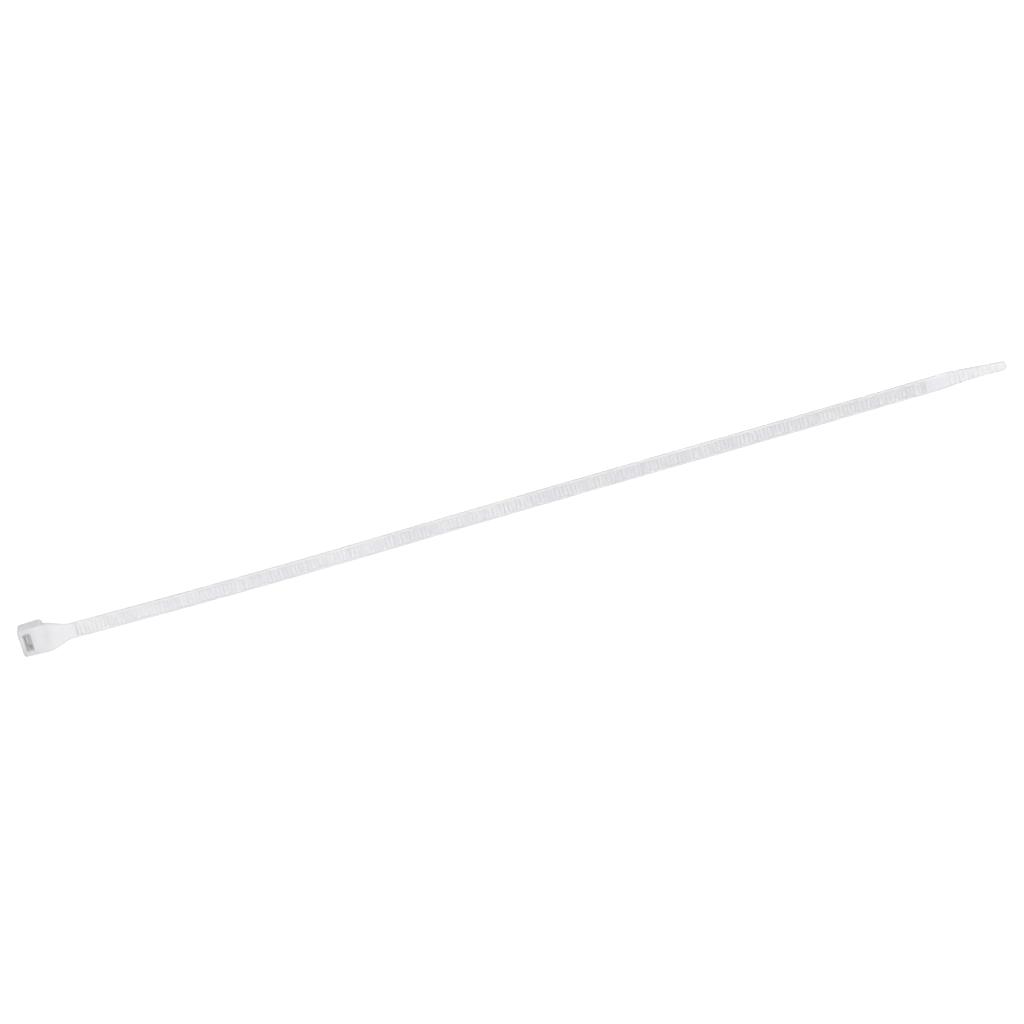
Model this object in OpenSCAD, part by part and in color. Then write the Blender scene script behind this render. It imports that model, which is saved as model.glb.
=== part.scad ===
// Cable tie, moulded in one piece, in the shape it takes when it is laid on a flat surface.
// The head stands on its exit face with the toothed face of the strap up. The strap comes
// down from the head in one long slack S, lies flat, and its tail turns up.
// X runs from the head to the tail, and the origin is on the exit face under the slot.

/* [Strap] */
// Length of the whole tie along the strap, from the head's outer end to the tip
tie_length = 300; // [250:1:450]
// Width of the strap
strap_w = 4.7; // [4:0.1:6]
// Thickness of the strap over its rails
strap_t = 1.3; // [1.2:0.05:1.6]
// Bevel of the long edges on the smooth face
back_edge = 0.3; // [0.1:0.05:0.5]
// Bevel of the long edges on the toothed face
rail_edge = 0.15; // [0.05:0.05:0.3]

/* [Toothed track] */
// Width of the plain rail on each side of the track
rail_w = 0.7; // [0.5:0.05:0.9]
// Distance from one tooth to the next
tooth_pitch = 1.2; // [0.8:0.05:2]
// Depth of the teeth
tooth_depth = 0.45; // [0.3:0.05:0.5]
// Length that the steep face of a tooth takes up along the strap
steep_run = 0.15; // [0.05:0.05:0.3]
// Depth of the crests below the rails
crest_drop = 0.12; // [0.02:0.02:0.2]
// Plain stretch between the neck and the first tooth
plain_start = 2; // [0.5:0.5:10]
// Plain stretch between the last tooth and the tail
plain_end = 2.5; // [1:0.5:10]

/* [Head] */
// Length of the head block along the strap, at its foot
head_l = 7.5; // [7.2:0.1:9]
// Width of the head at its outer end
head_end_w = 8.1; // [7.9:0.1:9]
// Width of the head where the neck begins
head_w = 8.7; // [8:0.1:9.5]
// Height of the head, from the exit face to the toothed face of the strap
head_h = 6.1; // [5.8:0.1:7]
// Rounding of the head's upper outer edge
brow_r = 1.2; // [0.5:0.1:1.4]
// Rounding of the head's two upright outer corners
corner_r = 0.8; // [0.3:0.1:1.2]
// Rounding of the head's two upright corners beside the neck
inner_corner_r = 0.6; // [0.2:0.1:1]

/* [Slot] */
// Thickness of the head's outer end wall
end_wall = 1.45; // [1.2:0.05:1.7]
// Room in the slot over the thickness of the strap
slot_play_t = 0.6; // [0.3:0.05:0.7]
// Room in the slot on each side of the strap
slot_play_w = 0.25; // [0.15:0.05:0.4]
// Depth and width of the bevel round the mouth of the slot
mouth_bevel = 0.45; // [0.2:0.05:0.7]

/* [Pawl] */
// Width of the pawl
pawl_w = 3.1; // [2.4:0.1:3.2]
// Thickness of the pawl at its hinge
hinge_t = 0.75; // [0.5:0.05:0.9]
// Thickness of the pawl behind its teeth
pawl_t = 0.9; // [0.7:0.05:1.1]
// Depth of the solid web above the pawl's chamber, which the pawl hangs from
web_t = 1.5; // [1:0.1:1.8]
// How far the pawl reaches across the slot
pawl_reach = 1.3; // [0.6:0.05:1.4]
// Gap between the pawl's tip and the exit face
tip_gap = 0.55; // [0.3:0.05:0.9]
// Number of teeth on the pawl
pawl_teeth = 3; // [1:1:3]
// Gap on each side of the pawl in its chamber
pawl_side_gap = 0.4; // [0.25:0.05:0.5]
// Free space behind the pawl at its tip
pawl_back_gap = 1.25; // [0.8:0.05:1.4]

/* [Neck] */
// Distance from the outer end to where the neck begins to narrow
neck_from = 8.3; // [8:0.1:9]
// Distance from the outer end to where the neck has come down to the strap
neck_to = 15; // [14:0.5:22]
// Thickness of the neck at the head
neck_t = 1.65; // [1.6:0.05:2]
// Radius of the hollow fillet between the head and the underside of the neck
fillet_r = 2.3; // [1:0.1:2.8]

/* [Tail] */
// Length of the turned-up tail
tail_l = 19; // [14:0.5:30]
// Thickness of the tail
tail_t = 1.0; // [0.8:0.05:1.1]
// Part of the tail's length that its quick taper, next to the strap, takes up
taper_part = 0.55; // [0.4:0.05:0.7]
// Width of the tail at the end of its quick taper
taper_w = 3.1; // [2.8:0.1:4]
// Width of the tail just before its round tip
tip_w = 2.7; // [2:0.1:2.8]
// Length of the ramp from the rails down to the tail
rail_ramp = 2.5; // [1:0.5:4]
// Angle that the tail turns up through
tail_turn = 15; // [5:1:25]
// Distance from one grip groove to the next
grip_pitch = 1.4; // [1:0.1:3]
// Depth of the grip grooves
grip_depth = 0.15; // [0.05:0.05:0.2]
// Length at the tip that has no grip grooves
grip_margin = 2.5; // [1:0.5:5]

/* [Lie] */
// Length over which the strap comes down to the surface
drop_run = 190; // [120:5:200]

/* [Hidden] */
$fn = 96;
// Extra length that lets a cut come out of the surface that it starts from
out = 1;
// Number of straight steps that each arc of the long S is drawn with
arc_steps = 24;
// Number of straight steps that the tail's arc is drawn with
tail_steps = 12;
nylon = [0.93, 0.93, 0.9];

// The long S: two equal arcs, one away from the head and one onto the surface
drop_h = head_h - strap_t;
drop_turn = 2 * atan(drop_h / drop_run);
drop_r = drop_run / 2 / sin(drop_turn);
arc_l = drop_r * drop_turn * PI / 180;
lands_at = neck_to + drop_run;

// What lies flat, and the tail
flat_l = tie_length - neck_to - 2 * arc_l - tail_l;
tail_at = lands_at + flat_l;
tail_s = 2 * arc_l + flat_l;
tail_r = tail_l / (tail_turn * PI / 180);
tail_reach = (tail_r - tail_t) * sin(tail_turn);
taper_l = taper_part * tail_l;

// The toothed track
track_w = strap_w - 2 * rail_w;
track_l = 2 * arc_l + flat_l - plain_start - plain_end - rail_ramp;
tooth_count = floor(track_l / tooth_pitch);
crest_lift = strap_t - crest_drop;
root_lift = crest_lift - tooth_depth;

// The slot and the pawl's chamber
slot_w = strap_w + 2 * slot_play_w;
slot_t = strap_t + slot_play_t;
slot_mid = end_wall + slot_t / 2;
chamber_from = end_wall + slot_t;
chamber_w = pawl_w + 2 * pawl_side_gap;
chamber_top = head_h - web_t;
tip_front = chamber_from - pawl_reach;
tip_back = tip_front + pawl_t + tooth_depth;
chamber_to = tip_back + pawl_back_gap;

// A point of the strap's side view: s along the strap from the neck, lift above its smooth face
function on_drop(s, lift) =
    let (a = drop_turn * s / arc_l)
    [neck_to + (drop_r + lift) * sin(a), drop_h - drop_r + (drop_r + lift) * cos(a)];
function on_landing(s, lift) =
    let (a = drop_turn * (2 - s / arc_l))
    [lands_at - (drop_r - lift) * sin(a), drop_r - (drop_r - lift) * cos(a)];
function on_tail(s, lift) =
    let (a = tail_turn * (s - tail_s) / tail_l)
    [tail_at + (tail_r - lift) * sin(a), tail_r - (tail_r - lift) * cos(a)];
function on_strap(s, lift) =
    s < arc_l ? on_drop(s, lift)
    : s < 2 * arc_l ? on_landing(s, lift)
    : s < tail_s ? [lands_at + s - 2 * arc_l, lift]
    : on_tail(s, lift);

// Distances along the strap and tail at which their side view has a point
strap_stations = [
    for (i = [0:2 * arc_steps]) i * arc_l / arc_steps,
    tail_s - rail_ramp,
    for (i = [0:tail_steps]) tail_s + i * tail_l / tail_steps
];

// A side view in X and Z, made as deep as w across the tie
module side_view(w) {
    rotate([90, 0, 0])
        linear_extrude(w, center = true)
            children();
}

// What a rounded corner takes off: the square corner at the origin less a quarter circle
module corner_waste(r) {
    difference() {
        translate([-out, -out])
            square(r + out);
        translate([r, r])
            circle(r);
    }
}

// The bevels' points lie half a step off, so that no two edges nearly meet
bevel_stations = [
    -out,
    for (i = [0:2 * arc_steps]) (i + 0.5) * arc_l / arc_steps,
    for (i = [0:tail_steps]) tail_s + (i + 0.5) * tail_l / tail_steps
];
bevel_l = 2 * (strap_w + head_h);

// Cuts a bevel of size b along an edge of the smooth face: a side view leant over by 45 degrees
module back_bevel(b) {
    function across(z) = (z + b - strap_w / 2) / sqrt(2);
    edge = [for (s = bevel_stations) let (p = on_strap(s, 0)) [p[0], across(p[1])]];
    rotate([45, 0, 0])
        side_view(bevel_l)
            polygon([
                each edge,
                for (i = [len(edge) - 1:-1:0]) edge[i] - [0, out]
            ]);
}

// The same along an edge of the toothed face
module rail_bevel(b) {
    function across(z) = (z - b + strap_w / 2) / sqrt(2);
    edge = [for (s = bevel_stations) let (p = on_strap(s, strap_t)) [p[0], across(p[1])]];
    rotate([-45, 0, 0])
        side_view(bevel_l)
            polygon([
                each edge,
                for (i = [len(edge) - 1:-1:0]) edge[i] + [0, out]
            ]);
}

// Strap and tail as one bar, which thins over the ramp before the tail
module strap_bar() {
    back = [for (s = strap_stations) on_strap(s, 0)];
    face = [for (s = strap_stations) on_strap(s, s < tail_s ? strap_t : tail_t)];
    difference() {
        side_view(strap_w)
            polygon([each back, for (i = [len(face) - 1:-1:0]) face[i]]);
        for (side = [0, 1])
            mirror([0, side, 0]) {
                back_bevel(back_edge);
                rail_bevel(rail_edge);
            }
    }
}

// All the spaces between the teeth, as one comb that is cut out of the strap
module tooth_comb() {
    roof_steps = 40;
    ends_at = plain_start + tooth_count * tooth_pitch;
    side_view(track_w)
        polygon([
            for (i = [0:tooth_count - 1])
                let (s = plain_start + i * tooth_pitch)
                each [on_strap(s, root_lift), on_strap(s + steep_run, crest_lift)],
            on_strap(ends_at, root_lift),
            for (i = [0:roof_steps])
                on_strap(ends_at - (ends_at - plain_start) * i / roof_steps, strap_t + out)
        ]);
}

// What the tail's outline takes off one side: a quick taper, a slow one and the round tip
module tail_waste() {
    tip_r = tip_w / 2;
    polygon([
        [0, strap_w / 2],
        [taper_l, taper_w / 2],
        [tail_reach - tip_r, tip_r],
        [tail_reach + out, tip_r],
        [tail_reach + out, strap_w],
        [0, strap_w]
    ]);
    translate([tail_reach, tip_r])
        rotate(180)
            corner_waste(tip_r);
}

// One grip groove across the tail, with its bottom at the origin
module grip_groove(depth) {
    side_view(strap_w + out)
        polygon([[0, 0], [depth + out, depth + out], [-depth - out, depth + out]]);
}

// Grip grooves across both faces of the tail
module grip_grooves() {
    groove_turn = grip_pitch / tail_r * 180 / PI;
    groove_count = floor((tail_l - grip_margin) / grip_pitch);
    for (i = [1:groove_count])
        translate([tail_at, 0, tail_r])
            rotate([0, -i * groove_turn, 0]) {
                translate([0, 0, tail_t - grip_depth - tail_r])
                    grip_groove(grip_depth);
                translate([0, 0, grip_depth - tail_r])
                    mirror([0, 0, 1])
                        grip_groove(grip_depth);
            }
}

// Strap with its teeth, and the narrower, turned-up tail
module strap() {
    difference() {
        strap_bar();
        tooth_comb();
        for (side = [0, 1])
            mirror([0, side, 0])
                translate([tail_at, 0, -out])
                    linear_extrude(tail_l)
                        tail_waste();
        grip_grooves();
    }
}

// Head and neck from the side, before the slot is cut
module head_side() {
    under_neck = head_h - neck_t;
    difference() {
        union() {
            square([head_l, head_h]);
            polygon([
                [head_l - out, head_h],
                [head_l - out, under_neck - fillet_r],
                [head_l, under_neck - fillet_r],
                [head_l + fillet_r, under_neck],
                [neck_to, drop_h],
                [neck_to, head_h]
            ]);
            translate([head_l, under_neck - fillet_r])
                square(fillet_r);
        }
        translate([head_l + fillet_r, under_neck - fillet_r])
            circle(fillet_r);
        translate([0, head_h])
            mirror([0, 1])
                corner_waste(brow_r);
    }
}

// Head and neck from above
module head_plan() {
    difference() {
        polygon([
            [0, -head_end_w / 2],
            [neck_from, -head_w / 2],
            [neck_to, -strap_w / 2],
            [neck_to, strap_w / 2],
            [neck_from, head_w / 2],
            [0, head_end_w / 2]
        ]);
        for (side = [0, 1])
            mirror([0, side])
                translate([0, -head_end_w / 2])
                    corner_waste(corner_r);
    }
}

// Rounds the two upright corners of the block below the neck, and narrows the web beside them
module inner_corner_cut() {
    for (side = [0, 1])
        mirror([0, side, 0])
            translate([head_l, head_w / 2 - inner_corner_r, -out])
                linear_extrude(head_h - neck_t + out)
                    difference() {
                        translate([-inner_corner_r, 0])
                            square([inner_corner_r + fillet_r + out, inner_corner_r + out]);
                        translate([-inner_corner_r, 0])
                            circle(inner_corner_r);
                    }
}

// The slot right through the head, with a bevelled mouth
module slot() {
    mouth_w = slot_w + 2 * mouth_bevel;
    mouth_l = slot_t + 2 * mouth_bevel;
    translate([end_wall, -slot_w / 2, -out])
        cube([slot_t, slot_w, head_h + 2 * out]);
    intersection() {
        translate([slot_mid, 0, head_h - mouth_bevel])
            side_view(mouth_w + out)
                mouth_bevel_section(slot_t);
        translate([slot_mid, 0, head_h - mouth_bevel])
            rotate([0, 0, 90])
                side_view(mouth_l + out)
                    mouth_bevel_section(slot_w);
    }
}

// Section of the bevelled mouth, as wide as the slot at its foot
module mouth_bevel_section(w) {
    rise = mouth_bevel + out;
    polygon([[-w / 2, 0], [w / 2, 0], [w / 2 + rise, rise], [-w / 2 - rise, rise]]);
}

// Room for the pawl to spring back, open at the exit face and into the slot
module pawl_chamber() {
    translate([chamber_from - out, -chamber_w / 2, -out])
        cube([chamber_to - chamber_from + out, chamber_w, chamber_top + out]);
}

// The pawl: hinged at the web, leaning into the slot, with ratchet teeth on its front
module pawl() {
    front_root = chamber_from;
    teeth_to = tip_gap + tooth_pitch * pawl_teeth;
    side_view(pawl_w)
        polygon([
            [front_root, chamber_top + web_t / 2],
            [front_root, teeth_to + tooth_depth],
            for (i = [pawl_teeth - 1:-1:0])
                let (foot = tip_gap + i * tooth_pitch)
                each [
                    [tip_front + tooth_depth, foot + tooth_pitch - steep_run],
                    [tip_front, foot + steep_run],
                    [tip_front + tooth_depth, foot]
                ],
            [tip_back, tip_gap],
            [front_root + hinge_t, chamber_top],
            [front_root + hinge_t, chamber_top + web_t / 2]
        ]);
}

module head() {
    difference() {
        intersection() {
            side_view(head_w + out)
                head_side();
            translate([0, 0, -out])
                linear_extrude(head_h + 2 * out)
                    head_plan();
        }
        inner_corner_cut();
        slot();
        pawl_chamber();
    }
    pawl();
}

module cable_tie() {
    color(nylon)
        translate([-slot_mid, 0, 0]) {
            head();
            strap();
        }
}

cable_tie();
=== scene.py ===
import bmesh
import bpy
import math
from mathutils import Matrix, Vector


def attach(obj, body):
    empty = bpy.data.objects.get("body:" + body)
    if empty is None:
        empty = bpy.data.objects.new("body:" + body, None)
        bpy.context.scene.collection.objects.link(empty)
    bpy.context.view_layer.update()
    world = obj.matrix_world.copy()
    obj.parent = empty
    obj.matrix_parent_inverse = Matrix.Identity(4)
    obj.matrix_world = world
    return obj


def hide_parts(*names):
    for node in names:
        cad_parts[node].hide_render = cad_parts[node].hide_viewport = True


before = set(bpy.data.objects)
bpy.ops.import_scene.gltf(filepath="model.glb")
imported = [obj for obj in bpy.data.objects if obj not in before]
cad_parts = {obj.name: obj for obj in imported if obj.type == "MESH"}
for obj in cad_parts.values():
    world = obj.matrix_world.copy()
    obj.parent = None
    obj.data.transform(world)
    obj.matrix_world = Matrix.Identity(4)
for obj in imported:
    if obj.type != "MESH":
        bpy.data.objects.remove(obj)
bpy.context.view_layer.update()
mm = 0.001

camera = {
    "aim": (146.05 * mm, -2.823 * mm, 2.0 * mm),
    "tilt": 21.4,          # degrees off the vertical, towards +Y
    "azimuth": 0.1,        # degrees, towards +X
    "roll": 15.67,
    "distance": 1038.0 * mm,
    "lens": 124.7,
    "sensor": 36.0,
    "clip": (0.05, 20),    # nearest and farthest, in metres
}


def makeCamera(c):
    tilt, azimuth, roll = (math.radians(c[k]) for k in ("tilt", "azimuth", "roll"))
    back = Vector((
        math.sin(tilt) * math.sin(azimuth),
        math.sin(tilt) * math.cos(azimuth),
        math.cos(tilt),
    ))
    up = Vector((0, 1, 0))
    up = (up - back * up.dot(back)).normalized()
    right = (-back).cross(up)
    camRight = right * math.cos(roll) - up * math.sin(roll)
    camUp = right * math.sin(roll) + up * math.cos(roll)
    data = bpy.data.cameras.new("camera")
    data.sensor_width = c["sensor"]
    data.lens = c["lens"]
    data.clip_start, data.clip_end = c["clip"]
    cam = bpy.data.objects.new("camera", data)
    turn = Matrix((camRight, camUp, back)).transposed().to_4x4()
    cam.matrix_world = Matrix.Translation(Vector(c["aim"]) + back * c["distance"]) @ turn
    bpy.context.scene.collection.objects.link(cam)
    bpy.context.scene.camera = cam


makeCamera(camera)
print("camera placed")


def newMaterial(name):
    mat = bpy.data.materials.new(name)
    mat.use_nodes = True
    mat.node_tree.nodes.clear()
    return mat, mat.node_tree.nodes, mat.node_tree.links


nylonLook = {
    "colour": (0.865, 0.864, 0.882),
    "cloudSize": 11.0 * mm,    # milky patches
    "cloudDepth": 0.025,
    "cloudDetail": 3,
    "flowLength": 40.0 * mm,   # streaks left by the flow in the mould
    "flowWidth": 1.4 * mm,
    "flowDepth": 0.012,
    "flowDetail": 2,
    "patternRange": (0.3, 0.7),    # the part of a noise that is spread out
    "roughness": 0.42,
    "roughSpread": 0.07,
    "waveSize": 3.5 * mm,      # slight sinks in the faces
    "waveHeight": 0.012 * mm,
    "waveDetail": 1,
    "grainSize": 0.16 * mm,    # the mould's matt finish
    "grainHeight": 0.004 * mm,
    "grainDetail": 2,
    "subsurface": 0.85,
    "scatter": 1.2 * mm,
    "scatterColour": (1, 1, 0.9),
    "forward": 0.7,            # how much of the light keeps its direction
    "clear": 0.4,
    "ior": 1.53,
}


def makeNylon(look):
    mat, nodes, links = newMaterial("naturalNylon")
    output = nodes.new("ShaderNodeOutputMaterial")
    shader = nodes.new("ShaderNodeBsdfPrincipled")
    links.new(shader.outputs[0], output.inputs["Surface"])
    place = nodes.new("ShaderNodeTexCoord").outputs["Object"]

    def noise(lengths, detail):
        stretch = nodes.new("ShaderNodeMapping")
        stretch.inputs["Scale"].default_value = [1 / v for v in lengths]
        links.new(place, stretch.inputs["Vector"])
        pattern = nodes.new("ShaderNodeTexNoise")
        pattern.inputs["Scale"].default_value = 1
        pattern.inputs["Detail"].default_value = detail
        links.new(stretch.outputs["Vector"], pattern.inputs["Vector"])
        return pattern.outputs["Fac"]

    def spread(pattern, middle, half):
        level = nodes.new("ShaderNodeMapRange")
        low, high = look["patternRange"]
        level.inputs["From Min"].default_value = low
        level.inputs["From Max"].default_value = high
        level.inputs["To Min"].default_value = middle - half
        level.inputs["To Max"].default_value = middle + half
        links.new(pattern, level.inputs["Value"])
        return level.outputs["Result"]

    def bump(pattern, height, under=None):
        relief = nodes.new("ShaderNodeBump")
        relief.inputs["Distance"].default_value = height
        links.new(pattern, relief.inputs["Height"])
        if under:
            links.new(under, relief.inputs["Normal"])
        return relief.outputs["Normal"]

    flow = noise((look["flowLength"], look["flowWidth"], look["flowWidth"]), look["flowDetail"])
    cloud = noise((look["cloudSize"],) * 3, look["cloudDetail"])
    tone = nodes.new("ShaderNodeMath")
    tone.operation = "MULTIPLY"
    links.new(spread(cloud, 1, look["cloudDepth"]), tone.inputs[0])
    links.new(spread(flow, 1, look["flowDepth"]), tone.inputs[1])
    colour = nodes.new("ShaderNodeVectorMath")
    colour.operation = "SCALE"
    colour.inputs[0].default_value = look["colour"]
    links.new(tone.outputs[0], colour.inputs["Scale"])
    links.new(colour.outputs[0], shader.inputs["Base Color"])
    rough = spread(flow, look["roughness"], look["roughSpread"])
    links.new(rough, shader.inputs["Roughness"])
    waves = bump(noise((look["waveSize"],) * 3, look["waveDetail"]), look["waveHeight"])
    fine = noise((look["grainSize"],) * 3, look["grainDetail"])
    links.new(bump(fine, look["grainHeight"], waves), shader.inputs["Normal"])
    shader.inputs["Subsurface Weight"].default_value = look["subsurface"]
    shader.inputs["Subsurface Radius"].default_value = look["scatterColour"]
    shader.inputs["Subsurface Scale"].default_value = look["scatter"]
    shader.inputs["Subsurface Anisotropy"].default_value = look["forward"]
    shader.inputs["Transmission Weight"].default_value = look["clear"]
    shader.inputs["IOR"].default_value = look["ior"]
    return mat


nylon = makeNylon(nylonLook)
print("nylon made")

# how finely the shapes are divided
meshSteps = {
    "footArc": 2,
    "edgeArc": 3,
    "headArc": 10,
    "neck": 12,
    "track": 140,
    "tail": 24,
    "tipArc": 12,
    "slotCorner": 4,
    "disc": 32,
    "pin": 36,
    "toothPath": 600,
    "gripPath": 80,
    "ejectorPath": 400,
}
mergeDistance = 1e-7
sharpAngle = 28

# sizes in millimetres, as in the tie's construction except where a note says otherwise
strapSizes = {
    "length": 300.0,       # whole tie, from the head's outer end to the tip
    "width": 4.7,
    "thick": 1.3,
    "backRound": 0.3,      # long edges of the smooth face
    "railRound": 0.15,     # long edges of the toothed face
    "railWidth": 0.7,
    "railInnerRound": 0.06,
    "dropRun": 190.0,      # length over which the strap comes down
    "sideBow": 1.1,        # how far its middle lies to one side, 0 in the construction
}
headSizes = {
    "length": 7.5,
    "endWidth": 8.1,
    "width": 8.7,
    "height": 6.1,
    "browRound": 1.2,
    "cornerRound": 0.8,
    "innerRound": 1.1,     # rear corners of the block, 0.6 in the construction
    "edgeRound": 0.2,
    "footRound": 0.1,
    "footRoundFrom": 1.0,  # least height of a block whose foot is rounded
    "webRound": 0.15,
    "neckFrom": 8.3,
    "neckTo": 15.0,
    "neckThick": 1.65,
    "neckEase": 0.6,       # 0 is a straight taper, 1 a full S
    "fillet": 2.3,
}
slotSizes = {
    "endWall": 1.45,
    "across": 1.9,
    "wide": 5.2,
    "cornerRound": 0.25,
    "mouthBevel": 0.45,
}
tailSizes = {
    "length": 19.0,
    "thick": 1.0,
    "turn": 15.0,
    "taperPart": 0.55,
    "taperWidth": 3.1,
    "tipWidth": 2.7,
    "tipClear": 0.2,       # even rings stop this far before the round tip
    "ramp": 2.5,
    "easeRun": 4.0,        # length over which the edges become finer
    "edgeRound": 0.12,
}

slotMid = slotSizes["endWall"] + slotSizes["across"] / 2
slotBack = slotSizes["endWall"] + slotSizes["across"]
dropHeight = headSizes["height"] - strapSizes["thick"]
dropTurn = 2 * math.atan(dropHeight / strapSizes["dropRun"])
dropRadius = strapSizes["dropRun"] / 2 / math.sin(dropTurn)
arcLength = dropRadius * dropTurn
landsAt = headSizes["neckTo"] + strapSizes["dropRun"]
flatLength = strapSizes["length"] - headSizes["neckTo"] - 2 * arcLength - tailSizes["length"]
tailFrom = 2 * arcLength + flatLength
tailAt = landsAt + flatLength
tailTurn = math.radians(tailSizes["turn"])
tailRadius = tailSizes["length"] / tailTurn
tailReach = (tailRadius - tailSizes["thick"]) * math.sin(tailTurn)


# s runs along the tie from the end of the neck, and lift is the height above the smooth face
def tiePoint(s, lift, y=0.0):
    if s < 0:
        x, z = headSizes["neckTo"] + s, dropHeight + lift
    elif s < arcLength:
        a = dropTurn * s / arcLength
        x = headSizes["neckTo"] + (dropRadius + lift) * math.sin(a)
        z = dropHeight - dropRadius + (dropRadius + lift) * math.cos(a)
    elif s < 2 * arcLength:
        a = dropTurn * (2 - s / arcLength)
        x = landsAt - (dropRadius - lift) * math.sin(a)
        z = dropRadius - (dropRadius - lift) * math.cos(a)
    elif s < tailFrom:
        x, z = landsAt + s - 2 * arcLength, lift
    else:
        a = (s - tailFrom) / tailRadius
        x = tailAt + (tailRadius - lift) * math.sin(a)
        z = tailRadius - (tailRadius - lift) * math.cos(a)
    return Vector(((x - slotMid) * mm, y * mm, z * mm))


# a point of the head, x counting from the outer end
def headPoint(x, y, z):
    return Vector(((x - slotMid) * mm, y * mm, z * mm))


def evenStops(first, last, steps):
    return [first + (last - first) * i / steps for i in range(steps + 1)]


def quarterAngles(steps):
    return [i * math.pi / 2 / steps for i in range(steps + 1)]


def quarter(radius, steps):
    return [(radius * math.sin(a), radius * (1 - math.cos(a))) for a in quarterAngles(steps)]


# half the width of head and neck from above, x counting from the outer end
def neckHalf(x):
    h = headSizes
    if x < h["neckFrom"]:
        return (h["endWidth"] + (h["width"] - h["endWidth"]) * x / h["neckFrom"]) / 2
    t = min(1, (x - h["neckFrom"]) / (h["neckTo"] - h["neckFrom"]))
    t = t + (t * t * (3 - 2 * t) - t) * h["neckEase"]
    return (h["width"] + (strapSizes["width"] - h["width"]) * t) / 2


toothSizes = {
    "pitch": 1.2,
    "depth": 0.45,
    "steepRun": 0.15,
    "crestDrop": 0.12,
    "crestFlat": 0.06,
    "rootFlat": 0.03,
    "plainStart": 2.0,
    "plainEnd": 2.5,
    "sink": 0.12,          # how far a tooth goes into the floor and the rails
    "trackShare": 0.7,     # the most that the track takes of a narrow section
}

trackHalf = strapSizes["width"] / 2 - strapSizes["railWidth"]
trackLength = tailFrom - toothSizes["plainStart"] - toothSizes["plainEnd"] - tailSizes["ramp"]
toothCount = math.floor(trackLength / toothSizes["pitch"])
trackEnd = toothSizes["plainStart"] + toothCount * toothSizes["pitch"]
crestLift = strapSizes["thick"] - toothSizes["crestDrop"]
rootLift = crestLift - toothSizes["depth"]
spineHalf = strapSizes["width"] / 4


# one cross-section: a wide upper part (neck, strap) on a narrower lower part (block, web)
def crossSection(half, low, top, under, foot, topRound, underRound, footRound, floor):
    side = [(0.0, foot)]
    side += [(low - footRound + a, foot + b) for a, b in quarter(footRound, meshSteps["footArc"])]
    side.append((low, under))
    edge = meshSteps["edgeArc"]
    side += [(half - underRound + a, under + b) for a, b in quarter(underRound, edge)]
    side += [(half - b, top - topRound + a) for a, b in quarter(topRound, edge)]
    inner = min(trackHalf, half * toothSizes["trackShare"])
    nick = strapSizes["railInnerRound"] if floor < top else 0.0
    side += [(inner + nick, top), (inner, top - nick), (inner, floor), (0.0, floor)]
    return side + [(-y, z) for y, z in reversed(side[1:-1])]


# a row is: x, half width above and below, top, underside, foot, rounding of the underside
def blockRows(arcs, underNeck, webHalf):
    h = headSizes
    r, b, n = h["cornerRound"], h["browRound"], h["innerRound"]
    decimals = 5
    xs = {round(k * (1 - math.cos(a)), decimals) for k in (b, r) for a in arcs}
    xs |= {round(h["length"] - n * (1 - math.sin(a)), decimals) for a in arcs}
    rows = []
    for x in sorted(xs):
        half, top = neckHalf(x), h["height"]
        if x < r:
            half -= r - math.sqrt(max(0, r * r - (r - x) ** 2))
        if x < b:
            top -= b - math.sqrt(max(0, b * b - (b - x) ** 2))
        low = half
        if x > h["length"] - n:
            low = half - n + math.sqrt(max(0, n * n - (x - h["length"] + n) ** 2))
        rows.append((x, half, min(low, half), top, underNeck, 0.0, 0.0))
    rows[-1] = (h["length"], neckHalf(h["length"]), webHalf, h["height"], underNeck, 0.0, 0.0)
    return rows


def filletRows(arcs, underNeck, webHalf):
    h = headSizes
    rows = []
    for a in arcs:
        x = h["length"] + h["fillet"] * (1 - math.cos(a))
        foot = underNeck - h["fillet"] * (1 - math.sin(a))
        rows.append((x, neckHalf(x), webHalf, h["height"], underNeck, foot, h["webRound"]))
    return rows


def neckRows(underNeck, webHalf):
    h = headSizes
    start = h["length"] + h["fillet"]
    rows = []
    for i in range(1, meshSteps["neck"] + 1):
        t = i / meshSteps["neck"]
        x = start + (h["neckTo"] - start) * t
        under = underNeck + (dropHeight - underNeck) * t
        low = webHalf + (spineHalf - webHalf) * t
        underRound = h["webRound"] + (strapSizes["backRound"] - h["webRound"]) * t
        rows.append((x, neckHalf(x), low, h["height"], under, under, underRound))
    return rows


def headSections():
    h = headSizes
    underNeck = h["height"] - h["neckThick"]
    webHalf = neckHalf(h["length"]) - h["innerRound"]
    arcs = quarterAngles(meshSteps["headArc"])
    rows = blockRows(arcs, underNeck, webHalf)
    rows += filletRows(arcs, underNeck, webHalf)
    rows += neckRows(underNeck, webHalf)
    sections = []
    for x, half, low, top, under, foot, underRound in rows:
        footRound = h["footRound"] if foot < under - h["footRoundFrom"] else 0.0
        finer = strapSizes["railRound"] - h["edgeRound"]
        topRound = h["edgeRound"] + finer * min(1, x / h["neckTo"])
        ring = crossSection(half, low, top - dropHeight, under - dropHeight, foot - dropHeight,
                            topRound, underRound, footRound, top - dropHeight)
        sections.append((x - h["neckTo"], ring))
    return sections


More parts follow.
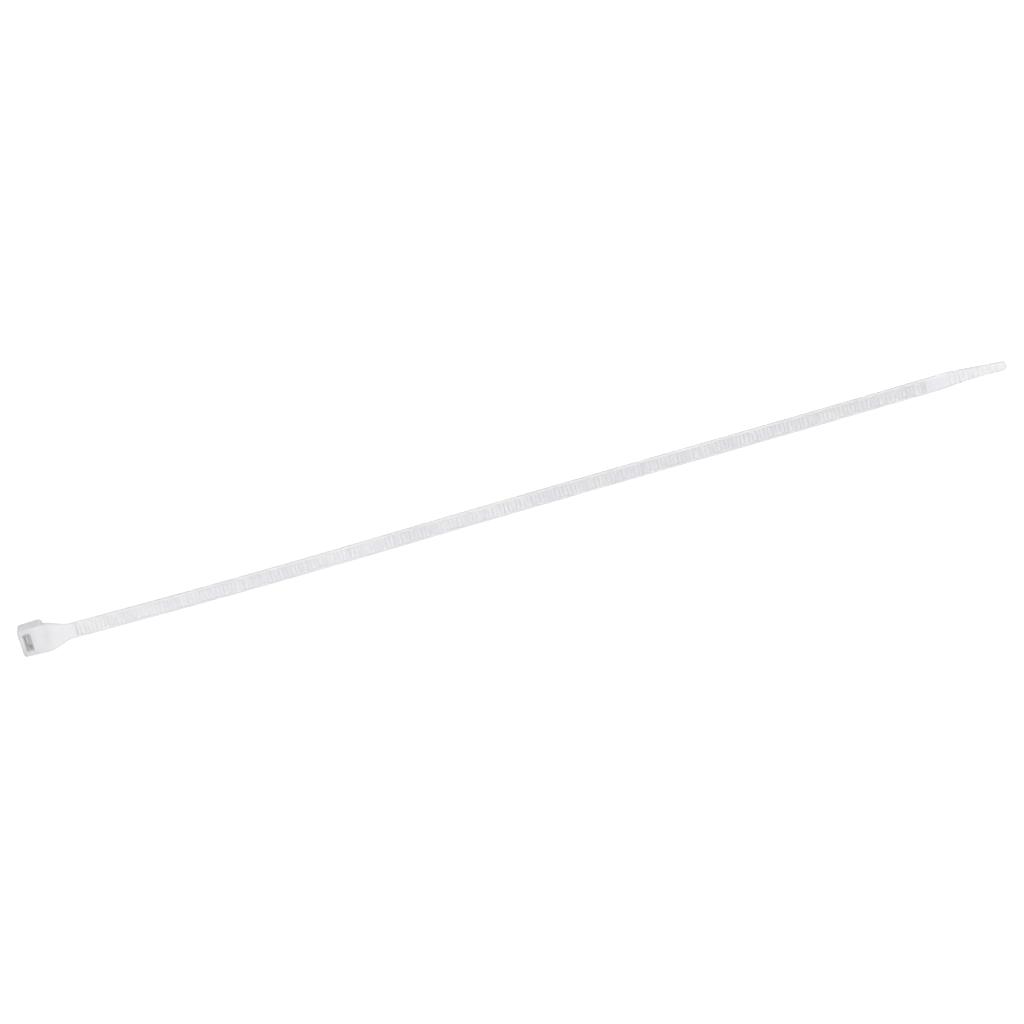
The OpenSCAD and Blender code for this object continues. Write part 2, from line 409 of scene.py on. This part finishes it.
def trackSections():
    s = strapSizes
    plain, rampFrom = toothSizes["plainStart"], tailFrom - tailSizes["ramp"]
    rows = [(plain / 2, s["thick"]), (plain, s["thick"])]
    rows += [(p, rootLift) for p in evenStops(plain, trackEnd, meshSteps["track"])]
    rows += [(trackEnd, s["thick"]), (rampFrom, s["thick"])]
    return [(at, crossSection(s["width"] / 2, spineHalf, s["thick"], 0.0, 0.0,
                              s["railRound"], s["backRound"], 0.0, floor)) for at, floor in rows]


# half the tail's width, reach counting along the table from where the tail begins
def tailHalf(reach):
    s, t = strapSizes, tailSizes
    taper, tipRadius = t["taperPart"] * t["length"], t["tipWidth"] / 2
    out = tailReach - reach
    if out < tipRadius:
        return math.sqrt(max(0, tipRadius ** 2 - (tipRadius - out) ** 2))
    if reach < taper:
        return (s["width"] + (t["taperWidth"] - s["width"]) * reach / taper) / 2
    part = min(1, (reach - taper) / (tailReach - tipRadius - taper))
    return (t["taperWidth"] + (t["tipWidth"] - t["taperWidth"]) * part) / 2


def tailSections():
    s, t = strapSizes, tailSizes
    tipRadius = t["tipWidth"] / 2
    lastEven = tailReach - tipRadius - t["tipClear"]
    evens = [tailReach * i / meshSteps["tail"] for i in range(meshSteps["tail"])]
    reaches = [reach for reach in evens if reach < lastEven]
    reaches += [tailReach - tipRadius * (1 - math.sin(a)) for a in quarterAngles(meshSteps["tipArc"])]
    sections = []
    for reach in reaches:
        half = tailHalf(reach)
        ease = min(1, reach / t["easeRun"])
        topRound = min(s["railRound"] + (t["edgeRound"] - s["railRound"]) * ease, half / 2)
        backRound = min(s["backRound"] + (t["edgeRound"] - s["backRound"]) * ease, half / 2)
        ring = crossSection(half, min(spineHalf, half / 2), t["thick"], 0.0, 0.0,
                            topRound, backRound, 0.0, t["thick"])
        sections.append((tailFrom + tailRadius * math.asin(reach / tailRadius), ring))
    return sections


def newObject(name, mesh):
    thing = bpy.data.objects.new(name, mesh)
    bpy.context.scene.collection.objects.link(thing)
    return thing


def meshFrom(name, bm):
    bmesh.ops.remove_doubles(bm, verts=bm.verts, dist=mergeDistance)
    bmesh.ops.dissolve_degenerate(bm, edges=bm.edges, dist=mergeDistance)
    bmesh.ops.recalc_face_normals(bm, faces=bm.faces)
    mesh = bpy.data.meshes.new(name)
    bm.to_mesh(mesh)
    bm.free()
    return newObject(name, mesh)


# joins rings of points one after the other, and closes both ends
def loft(name, rings):
    bm = bmesh.new()
    rows = [[bm.verts.new(p) for p in ring] for ring in rings]
    for one, two in zip(rows, rows[1:]):
        for i in range(len(one)):
            j = (i + 1) % len(one)
            bm.faces.new((one[i], one[j], two[j], two[i]))
    bm.faces.new(rows[0])
    bm.faces.new(list(reversed(rows[-1])))
    return meshFrom(name, bm)


def makeBar():
    sections = headSections() + trackSections() + tailSections()
    return loft("tieBar", [[tiePoint(s, lift, y) for y, lift in ring] for s, ring in sections])


# evaluates an object with its modifiers into a plain mesh
def settle(thing):
    bpy.context.view_layer.update()
    evaluated = thing.evaluated_get(bpy.context.evaluated_depsgraph_get())
    done = bpy.data.meshes.new_from_object(evaluated)
    thing.modifiers.clear()
    thing.data = done
    return thing


def combine(thing, other, how):
    step = thing.modifiers.new(how.lower(), "BOOLEAN")
    step.operation = how
    step.solver = "EXACT"
    step.object = other
    settle(thing)
    bpy.data.objects.remove(other)


cutterSizes = {
    "past": 1.0,           # how far a cutter runs past the face it opens
    "pastGrow": 1.1,       # what the slot's bevel has grown by there
    "easeFrom": 0.1,       # start and end of the small curve below the bevel
    "easeTo": 0.05,
    "lipFrom": 0.06,       # start and end of the small curve above it
    "lipTo": 0.02,
    "overlap": 0.5,        # how far the chamber reaches back into the slot
    "chamfer": 0.2,
}


# the slot: a rounded rectangle that flares at the toothed face
def slotCutter():
    c, z = cutterSizes, headSizes["height"]
    bevel, r = slotSizes["mouthBevel"], slotSizes["cornerRound"]
    levels = [
        (-c["past"], 0.0),
        (z - bevel - c["easeFrom"], 0.0),
        (z - bevel + c["easeTo"], c["easeTo"]),
        (z - c["lipFrom"], bevel - c["lipFrom"]),
        (z + c["lipTo"], bevel + c["easeTo"]),
        (z + c["past"], bevel + c["pastGrow"]),
    ]
    steps = meshSteps["slotCorner"]
    rings = []
    for level, grow in levels:
        a, b = slotSizes["across"] / 2 + grow, slotSizes["wide"] / 2 + grow
        ring = []
        for k, (cx, cy) in enumerate(((a - r, b - r), (r - a, b - r), (r - a, r - b), (a - r, r - b))):
            for i in range(steps + 1):
                turn = math.radians(90 * k + 90 / steps * i)
                ring.append(Vector((cx + r * math.cos(turn), cy + r * math.sin(turn), level)) * mm)
        rings.append(ring)
    return loft("slotCutter", rings)


# a prism across the tie from a side view, x counting from the outer end
def sidePrism(name, outline, width):
    rings = [[headPoint(x, y, z) for x, z in outline] for y in (-width / 2, width / 2)]
    return loft(name, rings)


pawlSizes = {
    "width": 3.1,
    "hinge": 0.75,
    "hingeLean": 0.1,      # how far the hinge's top lies behind its foot
    "thick": 0.9,
    "webDepth": 1.5,
    "reach": 1.3,
    "tipGap": 0.55,
    "teeth": 3,
    "toothTip": 0.04,      # half the flat on a tooth's tip
    "sideGap": 0.4,
    "backGap": 1.25,
}


def chamberCutter():
    p, c = pawlSizes, cutterSizes
    start = slotBack - c["overlap"]
    to = slotBack - p["reach"] + p["thick"] + toothSizes["depth"] + p["backGap"]
    roof = headSizes["height"] - p["webDepth"]
    outline = [(start, -c["past"]), (to, -c["past"]), (to, roof - c["chamfer"]),
               (to - c["chamfer"], roof), (start, roof)]
    return sidePrism("chamberCutter", outline, p["width"] + 2 * p["sideGap"])


def makePawl():
    p = pawlSizes
    roof = headSizes["height"] - p["webDepth"]
    hingeTop = roof + p["webDepth"] / 2
    front = slotBack - p["reach"]
    rear = front + p["thick"] + toothSizes["depth"]
    pitch, depth, steep = (toothSizes[k] for k in ("pitch", "depth", "steepRun"))
    outline = [(slotBack + p["hingeLean"], hingeTop), (slotBack, roof),
               (slotBack, p["tipGap"] + pitch * p["teeth"] + depth)]
    for i in reversed(range(p["teeth"])):
        foot = p["tipGap"] + i * pitch
        outline += [(front + depth, foot + pitch - steep), (front, foot + steep + p["toothTip"]),
                    (front, foot + steep - p["toothTip"]), (front + depth, foot)]
    outline += [(rear, p["tipGap"]), (slotBack + p["hinge"], roof),
                (slotBack + p["hinge"] + p["hingeLean"], hingeTop)]
    return sidePrism("pawl", outline, p["width"])


# a Geometry Nodes tree with named inputs, for the teeth, the grooves and the pin marks
def newTree(name, inputs):
    tree = bpy.data.node_groups.new(name, "GeometryNodeTree")
    face = tree.interface
    face.new_socket("Geometry", in_out="INPUT", socket_type="NodeSocketGeometry")
    ids = {}
    for label, kind in inputs.items():
        socket = face.new_socket(label, in_out="INPUT", socket_type="NodeSocket" + kind)
        ids[label] = socket.identifier
    face.new_socket("Geometry", in_out="OUTPUT", socket_type="NodeSocketGeometry")
    start = tree.nodes.new("NodeGroupInput")
    end = tree.nodes.new("NodeGroupOutput")
    return tree, ids, start, end


def feed(tree, sockets, values):
    for socket, value in zip(sockets, values):
        if isinstance(value, (int, float)):
            socket.default_value = value
        else:
            tree.links.new(value, socket)


def mathNode(tree, how, a, b):
    node = tree.nodes.new("ShaderNodeMath")
    node.operation = how
    feed(tree, node.inputs, (a, b))
    return node.outputs[0]


def vectorNode(tree, x, y, z):
    node = tree.nodes.new("ShaderNodeCombineXYZ")
    feed(tree, node.inputs, (x, y, z))
    return node.outputs[0]


# copies of a shape at even steps along the path, each turned along it
def placeAlong(tree, start, shape):
    nodes, links = tree.nodes, tree.links
    info = nodes.new("GeometryNodeObjectInfo")
    links.new(start.outputs["Path"], info.inputs["Object"])
    curve = nodes.new("GeometryNodeMeshToCurve")
    links.new(info.outputs["Geometry"], curve.inputs["Mesh"])
    points = nodes.new("GeometryNodeCurveToPoints")
    points.mode = "COUNT"
    links.new(curve.outputs["Curve"], points.inputs["Curve"])
    links.new(start.outputs["Count"], points.inputs["Count"])
    turn = nodes.new("FunctionNodeAlignRotationToVector")
    turn.axis = "X"
    turn.pivot_axis = "Y"
    links.new(points.outputs["Tangent"], turn.inputs["Vector"])
    copies = nodes.new("GeometryNodeInstanceOnPoints")
    links.new(points.outputs["Points"], copies.inputs["Points"])
    links.new(shape, copies.inputs["Instance"])
    links.new(turn.outputs["Rotation"], copies.inputs["Rotation"])
    real = nodes.new("GeometryNodeRealizeInstances")
    links.new(copies.outputs["Instances"], real.inputs["Geometry"])
    return real.outputs["Geometry"]


# adds the copies to the piece or cuts them out of it, and gives it its material
def finishTree(tree, start, end, copies, how):
    nodes, links = tree.nodes, tree.links
    cut = nodes.new("GeometryNodeMeshBoolean")
    cut.operation = how
    cut.solver = "EXACT"
    own = "Mesh 1" if how == "DIFFERENCE" else "Mesh 2"
    links.new(start.outputs["Geometry"], cut.inputs[own])
    links.new(copies, cut.inputs["Mesh 2"])
    real = nodes.new("GeometryNodeRealizeInstances")
    links.new(cut.outputs["Mesh"], real.inputs["Geometry"])
    paint = nodes.new("GeometryNodeSetMaterial")
    links.new(real.outputs["Geometry"], paint.inputs["Geometry"])
    links.new(start.outputs["Material"], paint.inputs["Material"])
    links.new(paint.outputs["Geometry"], end.inputs["Geometry"])


def pathObject(name, stops, lift):
    mesh = bpy.data.meshes.new(name)
    edges = [(i, i + 1) for i in range(len(stops) - 1)]
    mesh.from_pydata([tiePoint(s, lift) for s in stops], edges, [])
    return newObject(name, mesh)


def runTree(thing, built, values):
    tree, ids = built
    step = thing.modifiers.new(tree.name, "NODES")
    step.node_group = tree
    for label, value in values.items():
        step[ids[label]] = value
    settle(thing)
    bpy.data.objects.remove(values["Path"])


def toothTree():
    tree, ids, start, end = newTree("toothTrack", {
        "Path": "Object",
        "Count": "Int",
        "Pitch": "Float",
        "Depth": "Float",
        "Steep run": "Float",
        "Crest flat": "Float",
        "Root flat": "Float",
        "Track width": "Float",
        "Sink": "Float",
        "Material": "Material",
    })
    links, nodes, given = tree.links, tree.nodes, start.outputs
    length = mathNode(tree, "SUBTRACT", given["Pitch"], given["Root flat"])
    height = mathNode(tree, "ADD", given["Depth"], given["Sink"])
    width = mathNode(tree, "ADD", given["Track width"], given["Sink"])
    block = nodes.new("GeometryNodeMeshCube")
    links.new(vectorNode(tree, length, width, height), block.inputs["Size"])
    # the upper corners move to the crest, which stands just behind the steep face
    where = nodes.new("ShaderNodeSeparateXYZ")
    links.new(nodes.new("GeometryNodeInputPosition").outputs[0], where.inputs[0])
    isTop = mathNode(tree, "GREATER_THAN", where.outputs["Z"], 0)
    isFar = mathNode(tree, "GREATER_THAN", where.outputs["X"], 0)
    crest = mathNode(tree, "MULTIPLY", isFar, given["Crest flat"])
    halfLength = mathNode(tree, "MULTIPLY", length, 0.5)
    crestFrom = mathNode(tree, "ADD", given["Steep run"], crest)
    crestAt = mathNode(tree, "SUBTRACT", crestFrom, halfLength)
    wedge = nodes.new("GeometryNodeSetPosition")
    links.new(block.outputs["Mesh"], wedge.inputs["Geometry"])
    links.new(isTop, wedge.inputs["Selection"])
    moved = vectorNode(tree, crestAt, where.outputs["Y"], where.outputs["Z"])
    links.new(moved, wedge.inputs["Position"])
    lift = mathNode(tree, "SUBTRACT", mathNode(tree, "MULTIPLY", height, 0.5), given["Sink"])
    seat = nodes.new("GeometryNodeTransform")
    links.new(wedge.outputs["Geometry"], seat.inputs["Geometry"])
    links.new(vectorNode(tree, halfLength, 0.0, lift), seat.inputs["Translation"])
    finishTree(tree, start, end, placeAlong(tree, start, seat.outputs["Geometry"]), "UNION")
    return tree, ids


def cutTeeth(thing):
    t = toothSizes
    last = t["plainStart"] + (toothCount - 1) * t["pitch"]
    stops = evenStops(t["plainStart"], last, meshSteps["toothPath"])
    runTree(thing, toothTree(), {
        "Path": pathObject("toothPath", stops, rootLift),
        "Count": toothCount,
        "Pitch": t["pitch"] * mm,
        "Depth": t["depth"] * mm,
        "Steep run": t["steepRun"] * mm,
        "Crest flat": t["crestFlat"] * mm,
        "Root flat": t["rootFlat"] * mm,
        "Track width": 2 * trackHalf * mm,
        "Sink": t["sink"] * mm,
        "Material": nylon,
    })


gripSizes = {
    "pitch": 1.4,
    "depth": 0.15,
    "margin": 2.5,
    "barHalf": 0.5,        # half the diagonal of the cutting bar
    "overhang": 1.0,       # how much wider than the strap the bar is
}


# square bars that stand on an edge, one for each face of the tail
def gripTree():
    tree, ids, start, end = newTree("gripGrooves", {
        "Path": "Object",
        "Count": "Int",
        "Thickness": "Float",
        "Depth": "Float",
        "Bar half": "Float",
        "Bar width": "Float",
        "Material": "Material",
    })
    links, nodes, given = tree.links, tree.nodes, start.outputs
    sideLength = mathNode(tree, "MULTIPLY", given["Bar half"], math.sqrt(2))
    bar = nodes.new("GeometryNodeMeshCube")
    links.new(vectorNode(tree, sideLength, given["Bar width"], sideLength), bar.inputs["Size"])
    below = mathNode(tree, "SUBTRACT", given["Depth"], given["Bar half"])
    above = mathNode(tree, "SUBTRACT", given["Thickness"], below)
    pair = nodes.new("GeometryNodeJoinGeometry")
    for level in (below, above):
        place = nodes.new("GeometryNodeTransform")
        place.inputs["Rotation"].default_value = (0, math.radians(45), 0)
        links.new(bar.outputs["Mesh"], place.inputs["Geometry"])
        links.new(vectorNode(tree, 0.0, 0.0, level), place.inputs["Translation"])
        links.new(place.outputs["Geometry"], pair.inputs["Geometry"])
    finishTree(tree, start, end, placeAlong(tree, start, pair.outputs["Geometry"]), "DIFFERENCE")
    return tree, ids


def cutGrips(thing):
    g = gripSizes
    count = math.floor((tailSizes["length"] - g["margin"]) / g["pitch"])
    first, last = tailFrom + g["pitch"], tailFrom + count * g["pitch"]
    runTree(thing, gripTree(), {
        "Path": pathObject("gripPath", evenStops(first, last, meshSteps["gripPath"]), 0.0),
        "Count": count,
        "Thickness": tailSizes["thick"] * mm,
        "Depth": g["depth"] * mm,
        "Bar half": g["barHalf"] * mm,
        "Bar width": (strapSizes["width"] + g["overhang"]) * mm,
        "Material": nylon,
    })


# round pin marks in the smooth face
ejectorSizes = {
    "count": 6,
    "first": 22.0,
    "endGap": 14.0,
    "radius": 1.1,
    "depth": 0.05,
}


def ejectorTree():
    tree, ids, start, end = newTree("ejectorMarks", {
        "Path": "Object",
        "Count": "Int",
        "Radius": "Float",
        "Depth": "Float",
        "Material": "Material",
    })
    pin = tree.nodes.new("GeometryNodeMeshCylinder")
    pin.inputs["Vertices"].default_value = meshSteps["pin"]
    tree.links.new(start.outputs["Radius"], pin.inputs["Radius"])
    bothSides = mathNode(tree, "MULTIPLY", start.outputs["Depth"], 2)
    tree.links.new(bothSides, pin.inputs["Depth"])
    finishTree(tree, start, end, placeAlong(tree, start, pin.outputs["Mesh"]), "DIFFERENCE")
    return tree, ids


def cutEjectorMarks(thing):
    e = ejectorSizes
    stops = evenStops(e["first"], tailFrom - e["endGap"], meshSteps["ejectorPath"])
    runTree(thing, ejectorTree(), {
        "Path": pathObject("ejectorPath", stops, 0.0),
        "Count": e["count"],
        "Radius": e["radius"] * mm,
        "Depth": e["depth"] * mm,
        "Material": nylon,
    })


# where the nylon came in: a small dish in the head's end wall with the broken-off stub in it
gateSizes = {
    "height": 3.0,
    "radius": 0.8,
    "depth": 0.12,
    "outside": 0.5,        # how far the dish's cutter stands out of the wall
    "stubRadius": 0.38,
    "stubHeight": 0.09,
    "stubRoot": 0.2,       # how far the stub goes into the wall
}


def endDisc(name, x0, x1, radius):
    turns = [i * 2 * math.pi / meshSteps["disc"] for i in range(meshSteps["disc"])]
    rings = []
    for x in (x0, x1):
        rings.append([headPoint(x, radius * math.cos(a), gateSizes["height"] + radius * math.sin(a))
                      for a in turns])
    return loft(name, rings)


def cutGateMark(thing):
    g = gateSizes
    dish = endDisc("gateDish", -g["outside"], g["depth"], g["radius"])
    combine(thing, dish, "DIFFERENCE")
    stubTop = g["depth"] - g["stubHeight"]
    stub = endDisc("gateStub", stubTop, g["depth"] + g["stubRoot"], g["stubRadius"])
    combine(thing, stub, "UNION")


# the strap's middle lies a little to one side, as a slack strap does
def bowSideways(mesh):
    first = headSizes["neckTo"]
    middle, reach = (first + strapSizes["length"]) / 2, (strapSizes["length"] - first) / 2
    for v in mesh.vertices:
        x = v.co.x / mm + slotMid
        if x > first:
            v.co.y -= strapSizes["sideBow"] * mm * max(0, 1 - ((x - middle) / reach) ** 2)
    mesh.update()


tieBody = makeBar()
print("bar lofted:", len(tieBody.data.polygons), "faces")
combine(tieBody, slotCutter(), "DIFFERENCE")
combine(tieBody, chamberCutter(), "DIFFERENCE")
combine(tieBody, makePawl(), "UNION")
print("slot and pawl made")
cutTeeth(tieBody)
print("teeth set:", toothCount)
cutGrips(tieBody)
print("grip grooves cut")
cutEjectorMarks(tieBody)
cutGateMark(tieBody)
print("mould marks cut")
bowSideways(tieBody.data)
tieBody.name = "nylonTie"
tieBody.data.materials.clear()
tieBody.data.materials.append(nylon)
tieBody.data.shade_smooth()
tieBody.data.set_sharp_from_angle(angle=math.radians(sharpAngle))
evenNormals = tieBody.modifiers.new("evenNormals", "WEIGHTED_NORMAL")
evenNormals.keep_sharp = True
settle(tieBody)
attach(tieBody, "root")
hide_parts("cable_tie")
print("tie finished:", len(tieBody.data.polygons), "faces")

# floor, light and surroundings, in metres
stageLook = {
    "floorSize": 6.0,
    "floorColour": 0.65,
    "floorDrop": 0.02 * mm,
    "floorLift": 0.64,     # what the camera sees on top of the lit floor
    "worldLight": 0.45,
    "lampPower": 21.2,
    "lampSize": 0.8,
    "lampPlace": (0.36, 0.52, 1.52),
    "lampAim": (0.147, 0, 0),
}


# 1 where the camera sees a surface straight or by way of gloss or clear material, else 0
def seenByCamera(nodes, links):
    path = nodes.new("ShaderNodeLightPath")
    found = path.outputs["Is Camera Ray"]
    for kind in ("Is Glossy Ray", "Is Transmission Ray"):
        larger = nodes.new("ShaderNodeMath")
        larger.operation = "MAXIMUM"
        links.new(found, larger.inputs[0])
        links.new(path.outputs[kind], larger.inputs[1])
        found = larger.outputs[0]
    return found


def makeFloor(look):
    half, z = look["floorSize"] / 2, -look["floorDrop"]
    mesh = bpy.data.meshes.new("floor")
    corners = [(-half, -half, z), (half, -half, z), (half, half, z), (-half, half, z)]
    mesh.from_pydata(corners, [], [(0, 1, 2, 3)])
    floor = newObject("floor", mesh)
    mat, nodes, links = newMaterial("whitePaper")
    output = nodes.new("ShaderNodeOutputMaterial")
    paper = nodes.new("ShaderNodeBsdfDiffuse")
    paper.inputs["Color"].default_value = (look["floorColour"],) * 3 + (1,)
    glow = nodes.new("ShaderNodeEmission")
    lift = nodes.new("ShaderNodeMath")
    lift.operation = "MULTIPLY"
    links.new(seenByCamera(nodes, links), lift.inputs[0])
    lift.inputs[1].default_value = look["floorLift"]
    links.new(lift.outputs[0], glow.inputs["Strength"])
    add = nodes.new("ShaderNodeAddShader")
    links.new(paper.outputs[0], add.inputs[0])
    links.new(glow.outputs[0], add.inputs[1])
    links.new(add.outputs[0], output.inputs["Surface"])
    mesh.materials.append(mat)


def makeWorld(look):
    world = bpy.data.worlds.new("studio")
    bpy.context.scene.world = world
    world.use_nodes = True
    nodes, links = world.node_tree.nodes, world.node_tree.links
    nodes.clear()
    output = nodes.new("ShaderNodeOutputWorld")
    room = nodes.new("ShaderNodeBackground")
    room.inputs["Color"].default_value = (1, 1, 1, 1)
    level = nodes.new("ShaderNodeMapRange")
    level.inputs["To Min"].default_value = look["worldLight"]
    level.inputs["To Max"].default_value = 1.0
    links.new(seenByCamera(nodes, links), level.inputs["Value"])
    links.new(level.outputs[0], room.inputs["Strength"])
    links.new(room.outputs[0], output.inputs["Surface"])


def makeLamp(look):
    data = bpy.data.lights.new("softbox", "AREA")
    data.shape = "SQUARE"
    data.size = look["lampSize"]
    data.energy = look["lampPower"]
    lamp = newObject("softbox", data)
    place = Vector(look["lampPlace"])
    lamp.location = place
    lamp.rotation_mode = "QUATERNION"
    lamp.rotation_quaternion = (Vector(look["lampAim"]) - place).to_track_quat("-Z", "Y")


makeFloor(stageLook)
makeWorld(stageLook)
makeLamp(stageLook)
bpy.context.scene.view_settings.view_transform = "Standard"
print("stage lit")
